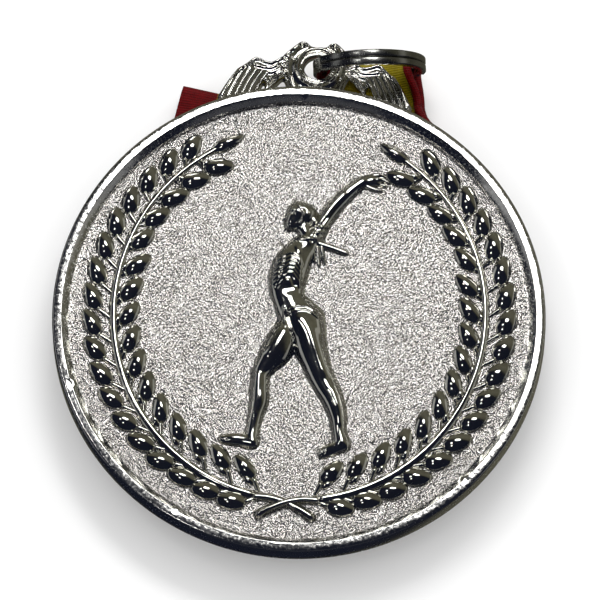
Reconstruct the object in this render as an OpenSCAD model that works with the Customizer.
// Round cast sports finisher medal, lying face up on its folded neck ribbon.
// The winged hanger holds a split ring that stands on edge, and the ribbon is looped round the ring.
// X runs across the medal, Y runs up to the hanger and Z comes out of the face. Units are millimetres.

/* [Medal] */
// Outer diameter of the medal
disc_d = 65; // [60:1:70]
// Thickness of the medal over its rim
rim_h = 3.6; // [3:0.1:4.5]
// Thickness of the medal at its flat sunk field
field_h = 2; // [1.5:0.1:2.5]
// Width of the raised rim
rim_w = 2.1; // [1.5:0.1:3]

/* [Wreath] */
// Leaves on the outer side of each branch
outer_leaves = 18; // [12:1:20]
// Leaves on the inner side of each branch
inner_leaves = 16; // [10:1:18]
// Length of one leaf
leaf_l = 4; // [3:0.1:4.2]
// Width of one leaf
leaf_w = 2.2; // [1.6:0.1:2.4]
// Width of a branch's stem
stem_w = 0.7; // [0.5:0.1:1]

/* [Athlete] */
// Height that the thickest parts of the figure stand above the field
relief_h = 1.3; // [0.9:0.1:1.5]

/* [Hanger] */
// Thickness of the winged hanger
lug_h = 3; // [2.5:0.1:3.5]
// Diameter of the hole for the ring
bore_d = 3.5; // [3.4:0.1:3.8]
// Distance from the medal's centre to the centre of that hole
bore_y = 35.7; // [35.5:0.1:36]

/* [Split ring] */
// Outer diameter of the split ring
ring_od = 15; // [14:0.5:16]
// Width of one turn of its flat wire, along the ring's axis
wire_w = 1; // [0.8:0.1:1]
// Thickness of the wire, across the ring's radius
wire_t = 1.1; // [0.9:0.1:1.2]
// Direction in which the ring points, turned from the X axis
ring_turn = 6; // [0:1:12]
// Lean of the ring's upper half, down the face
ring_lean = 9.4; // [0:0.2:10]

/* [Ribbon] */
// Width of the ribbon
ribbon_w = 22; // [20:1:24]
// Thickness of one layer of ribbon
ribbon_t = 0.42; // [0.4:0.01:0.44]

/* [Hidden] */
$fn = 96;

disc_r = disc_d / 2;
field_r = disc_r - rim_w;
lug_top = 39.6;                              // highest point of the hanger, from the medal's centre
disc_y = (disc_r - lug_top) / 2;             // puts the origin in the middle of the whole object

pass_h = 2 * ribbon_t;                       // one pass of the folded ribbon is two layers
back_gap = 0.08;                             // clearance between the folded ribbon and the medal
folds = [[7.2, 33.4], [4, -18], [0, 26], [-12, -14], [-7, 31], [-15.5, -8], [-4, 25], [-2, -19], [-2, 24]];
passes = len(folds) - 1;
back_z = passes * pass_h + back_gap;         // height of the medal's back above the support

groove_r = 25;                               // fine framing groove in the plain back
groove_w = 0.5;
groove_d = 0.25;

wreath_y = 0.9;                              // centre of both branches' ellipse
stem_rx = 24.6;
stem_ry = 26;
stem_h = 0.6;
stem_start = 8;                              // the stem runs between these angles, from the bottom round
stem_end = 147;
stem_steps = 28;

loop_gap = 0.15;                             // clearance between the ribbon's loop and the wire
loop_span = 100;                             // arc of the ring that the ribbon covers, in degrees
loop_w = 13;                                 // gathered width of the ribbon at the ring
fold_y = -3;                                 // line where the ribbon bends, beside the ring
fold_gap = 0.18;
wire_r = (ring_od - wire_t) / 2;             // radius of the wire's centre line
wire_end = -27;                              // place of the wire's first end, low on the ring's outer side
wire_end_gap = 14;                           // how far round the second end is from the first

function mirrored(points) = concat(points, [for (i = [len(points) - 1:-1:0]) [-points[i][0], points[i][1]]]);
function ellipse_at(rx, ry, a) = [-rx * sin(a), wreath_y - ry * cos(a)];
// Radius of the round whose top stands h above the field and whose edge is w from its middle.
function round_r(w, h) = (w * w + h * h) / (2 * h);

module on_medal(z) {
    translate([0, disc_y, back_z + z]) children();
}

// ---- Cast medal ----

module medal_disc() {
    color([0.78, 0.77, 0.75])
    on_medal(0)
    difference() {
        cylinder(r = field_r, h = field_h);
        rotate_extrude()
            translate([groove_r, -1])
            square([groove_w, 1 + groove_d]);
    }
}

module rim() {
    crest_r = field_r + 0.6;
    shoulder_h = rim_h - 0.5;
    color([0.62, 0.62, 0.62])
    on_medal(0)
    rotate_extrude()
    polygon([[field_r, 0], [disc_r - 0.5, 0], [disc_r, 0.4], [disc_r, shoulder_h], [disc_r - 0.25, rim_h - 0.25],
        [disc_r - 0.7, rim_h - 0.05], [crest_r + 0.2, rim_h], [crest_r, rim_h - 0.1], [field_r, field_h]]);
}

// ---- Wreath of two crossed branches ----

// Half of a pointed spindle, lying along Y with its flat side down.
module leaf(length, width) {
    arc_r = (length * length + width * width) / (4 * width);
    rotate([90, 0, 0])
    rotate_extrude(angle = 180)
    intersection() {
        translate([width / 2 - arc_r, 0]) circle(r = arc_r);
        translate([0, -length]) square([width, 2 * length]);
    }
}

module placed_leaf(radius, angle, splay) {
    spot = ellipse_at(radius, radius, angle);
    translate([spot[0], spot[1], 0])
    rotate([0, 0, 90 - angle + splay])
    leaf(leaf_l, leaf_w);
}

module leaves() {
    outer_step = 129.5 / (outer_leaves - 1);
    inner_step = 134 / (inner_leaves - 1);
    for (k = [0:outer_leaves - 1])
        placed_leaf(27.4, 15.2 + outer_step * k, k < 3 ? 16 : 28);
    for (k = [0:inner_leaves - 1])
        placed_leaf(k < 11 ? 22.4 : 23.2, 14.8 + inner_step * k, k < 11 ? -34 : -20);
    translate([-11, 24.2, 0])
        rotate([0, 0, -59])
        leaf(4.8, 1.9);
}

module stem() {
    half = stem_w / 2;
    angles = [for (i = [0:stem_steps]) stem_start + (stem_end - stem_start) * i / stem_steps];
    linear_extrude(stem_h)
    polygon(concat(
        [for (a = angles) ellipse_at(stem_rx + half, stem_ry + half, a)],
        [for (i = [stem_steps:-1:0]) ellipse_at(stem_rx - half, stem_ry - half, angles[i])]));
}

// The stem's lower end, which crosses the other branch and ends in a round cut.
module tail(grow) {
    half = stem_w / 2 + grow;
    linear_extrude(stem_h)
    polygon([[-3.3, -24.6 + half], [-1, -25 + half], [1.4, -25.9 + half], [4.1, -27 + half],
        [3.9, -27.4 - half], [1.4, -26.2 - half], [-1, -25.2 - half], [-3.3, -24.9 - half]]);
}

module branch() {
    leaves();
    stem();
}

// The left branch passes under the right one, so its tail is cut away there.
module wreath_left() {
    color([0.5, 0.5, 0.5])
    on_medal(field_h) {
        branch();
        difference() {
            tail(0);
            mirror([1, 0, 0]) tail(0.1);
        }
    }
}

module wreath_right() {
    color([0.5, 0.5, 0.5])
    on_medal(field_h)
    mirror([1, 0, 0]) {
        branch();
        tail(0);
    }
}

// ---- Athlete in low relief ----

// A rounded length of the figure, from point a to point b, as wide as wa and wb on each side.
module limb(a, wa, b, wb) {
    ha = min(relief_h, wa);
    hb = min(relief_h, wb);
    ra = round_r(wa, ha);
    rb = round_r(wb, hb);
    start = [a[0], a[1], ha - ra];
    run = [b[0], b[1], hb - rb] - start;
    translate(start) {
        sphere(r = ra * 1.01);
        rotate([0, acos(run[2] / norm(run)), atan2(run[1], run[0])])
            cylinder(r1 = ra, r2 = rb, h = norm(run));
        translate(run)
            sphere(r = rb * 1.01);
    }
}

// Limbs joined end to end. Each row holds x, y and the half width there.
module limb_chain(rows) {
    for (i = [0:len(rows) - 2])
        limb(rows[i], rows[i][2], rows[i + 1], rows[i + 1][2]);
}

module athlete_relief() {
    color([0.5, 0.5, 0.5])
    on_medal(field_h)
    difference() {
        union() {
            limb_chain([[-0.6, 14.5, 1.9], [0, 12, 1]]);
            limb_chain([[0.6, 11.2, 1.5], [-1.2, 8.2, 2.4], [-1.9, 5.4, 2.3], [-1.5, 2.7, 2], [0, 0.6, 2.4]]);
            limb_chain([[1.2, 11.6, 1.1], [2.5, 14.4, 0.9], [4.9, 17.3, 0.8], [7.6, 19.8, 0.5]]);
            limb_chain([[7.6, 19.8, 0.5], [9.8, 20, 0.25]]);
            limb_chain([[7.6, 19.8, 0.45], [9.2, 19, 0.25]]);
            limb_chain([[2.2, 10.5, 0.3], [5.6, 9.8, 0.28]]);
            limb_chain([[1.6, 10.2, 0.4], [1.9, 8.3, 0.25]]);
            limb_chain([[2.2, 10.2, 0.4], [3, 8.4, 0.25]]);
            limb_chain([[-1, -1.6, 1.6], [-4.4, -7.3, 1.2], [-4.4, -10.3, 1.15], [-4.9, -15.6, 0.6], [-5, -17.1, 0.6]]);
            limb_chain([[-5, -17.3, 0.55], [-8.8, -17.5, 0.4]]);
            limb_chain([[0.9, -0.6, 2.2], [2, -4, 1.9], [3.7, -8.4, 1.3], [5.3, -11, 1.2], [6.5, -15.4, 0.6], [7, -16.8, 0.6]]);
            limb_chain([[7, -16.9, 0.5], [4.3, -18.2, 0.45]]);
        }
        translate([-20, -30, -20])
            cube([40, 60, 20]);
    }
}

// ---- Winged hanger ----

module eyelet() {
    side = [[0, 38.85], [0.9, 38.95], [1.5, 39.4], [2, lug_top], [2.5, 39.5], [2.9, 39.2], [4, 38.1],
        [4.6, 37.2], [4.4, 35.5], [3.8, 34], [3.4, 31]];
    bore_r = bore_d / 2;
    color([0.62, 0.62, 0.62])
    on_medal(0)
    difference() {
        union() {
            linear_extrude(lug_h)
                polygon(mirrored(side));
            translate([0, bore_y, lug_h])
                rotate_extrude()
                translate([bore_r + 0.65, 0])
                circle(r = 0.35);
        }
        cylinder(r = disc_r, h = 20, center = true);
        translate([0, bore_y, -1])
            cylinder(r = bore_r, h = lug_h + 3);
        translate([0, bore_y, lug_h - 0.4])
            cylinder(r1 = bore_r, r2 = bore_r + 0.4, h = 0.4);
    }
}

// Shallow feather, from its root to its tip on the rim.
module feather(root, tip, width) {
    run = tip - root;
    translate([root[0], root[1], 0])
        rotate([0, 0, atan2(run[1], run[0])])
        translate([0, -width / 2, 0])
        cube([norm(run), width, 0.25]);
}

module wing() {
    plate_h = lug_h - 0.25;
    outline = [[4.6, 37.2], [5.3, 36.7], [6.1, 36.25], [7, 36.45], [8, 36.9], [8.6, 36.7], [9.2, 36.1],
        [10.8, 34.6], [12, 32.5], [12.9, 30.8], [3.4, 31], [3.8, 34], [4.4, 35.5]];
    gap = [[3.9, 31.4], [4.1, 33.4], [4.5, 33.9], [5.2, 33.6], [6.4, 32.6], [6.7, 31.4]];
    feathers = 6;
    on_medal(0)
    difference() {
        union() {
            linear_extrude(plate_h)
                difference() {
                    polygon(outline);
                    polygon(gap);
                }
            for (i = [0:feathers - 1])
                translate([0, 0, plate_h])
                feather([6.7 + 0.5 * i, 34.6 + 0.15 * i], [8.4 + 0.72 * i, 32 - 0.22 * i], 0.34);
        }
        cylinder(r = disc_r, h = 20, center = true);
    }
}

module wing_right() {
    color([0.55, 0.55, 0.55]) wing();
}

module wing_left() {
    color([0.55, 0.55, 0.55]) mirror([1, 0, 0]) wing();
}

// ---- Split ring, in a frame with its axis along Z and its lowest point at -90 degrees ----

module on_bore() {
    translate([0, disc_y + bore_y, 0])
        rotate([0, 0, ring_turn])
        children();
}

module on_ring() {
    on_bore()
        translate([0, 0, back_z + lug_h / 2])
        rotate([ring_lean, 0, 0])
        translate([wire_r, 0, 0])
        rotate([90, 0, 0])
        children();
}

// Section of one turn of wire with its edges broken.
module wire_section() {
    edge = 0.2;
    half_t = wire_t / 2;
    polygon([[edge - half_t, 0], [half_t - edge, 0], [half_t, edge], [half_t, wire_w - edge],
        [half_t - edge, wire_w], [edge - half_t, wire_w], [-half_t, wire_w - edge], [-half_t, edge]]);
}

module split_ring() {
    slot_w = 0.35;
    color([0.6, 0.6, 0.6])
    on_ring()
    difference() {
        rotate_extrude()
            translate([wire_r, 0]) {
                wire_section();
                mirror([0, 1]) wire_section();
            }
        // The two ends of the wire, one on each face of the ring.
        for (side = [0, 1])
            rotate([0, 0, wire_end + wire_end_gap * side])
            translate([wire_r - 1, -slot_w / 2, side ? 0 : -2])
            cube([2, slot_w, 2]);
    }
}

// ---- Ribbon ----

// Sleeve of ribbon round the lower part of the ring, with the tongue where its two layers meet.
module ribbon_loop() {
    hole_t = wire_t + 2 * loop_gap;
    hole_w = 2 * wire_w + 2 * loop_gap;
    tongue_y = fold_y + ribbon_t + fold_gap;
    color([0.72, 0.6, 0.1]) {
        on_ring()
            rotate([0, 0, -90 - loop_span / 2])
            rotate_extrude(angle = loop_span)
            translate([wire_r, 0])
            difference() {
                square([hole_t + 2 * ribbon_t, hole_w + 2 * ribbon_t], center = true);
                square([hole_t, hole_w], center = true);
            }
        on_bore()
            translate([wire_r - loop_w / 2 + 1, 0, 0])
            rotate([90, 0, 90])
            linear_extrude(loop_w - 2)
            polygon([[-0.2, 0.25], [-0.2, 2], [-1.3, 1.3], [tongue_y, pass_h], [tongue_y, 0.7], [-1.1, 0.1]]);
    }
}

// Row of thread stitches through the tongue.
module ribbon_stitching() {
    stitches = 6;
    pitch = 1.7;
    color([0.85, 0.8, 0.7])
    on_bore()
    for (i = [0:stitches - 1])
        translate([wire_r + (i - (stitches - 1) / 2) * pitch - 0.55, -1.95, 1.17])
        rotate([0, 90, 0])
        cylinder(r = 0.12, h = 1.1);
}

// Plan of one pass of the ribbon, from one fold to the next.
module pass_plan(a, b) {
    along = (b - a) / norm(b - a);
    across = [along[1], -along[0]] * ribbon_w / 2;
    polygon([a + across, b + across, b - across, a - across]);
}

// The first pass narrows towards the ring, and its end face lies on the fold line there.
module first_pass() {
    end = folds[1];
    linear_extrude(pass_h)
        translate([0, disc_y])
        polygon([[0.78, 32.77], [13.7, 34.12], [15.2, 32.4], [16.8, 30.4], end + [11, -0.6], end - [11, -0.6],
            [-5, 29], [-1.2, 31]]);
}

module ribbon_hank() {
    color([0.65, 0.08, 0.08]) {
        first_pass();
        for (i = [1:passes - 1])
            translate([0, disc_y, i * pass_h])
            linear_extrude(pass_h)
            pass_plan(folds[i], folds[i + 1]);
    }
}

medal_disc();
rim();
wreath_left();
wreath_right();
athlete_relief();
eyelet();
wing_left();
wing_right();
split_ring();
ribbon_loop();
ribbon_stitching();
ribbon_hank();
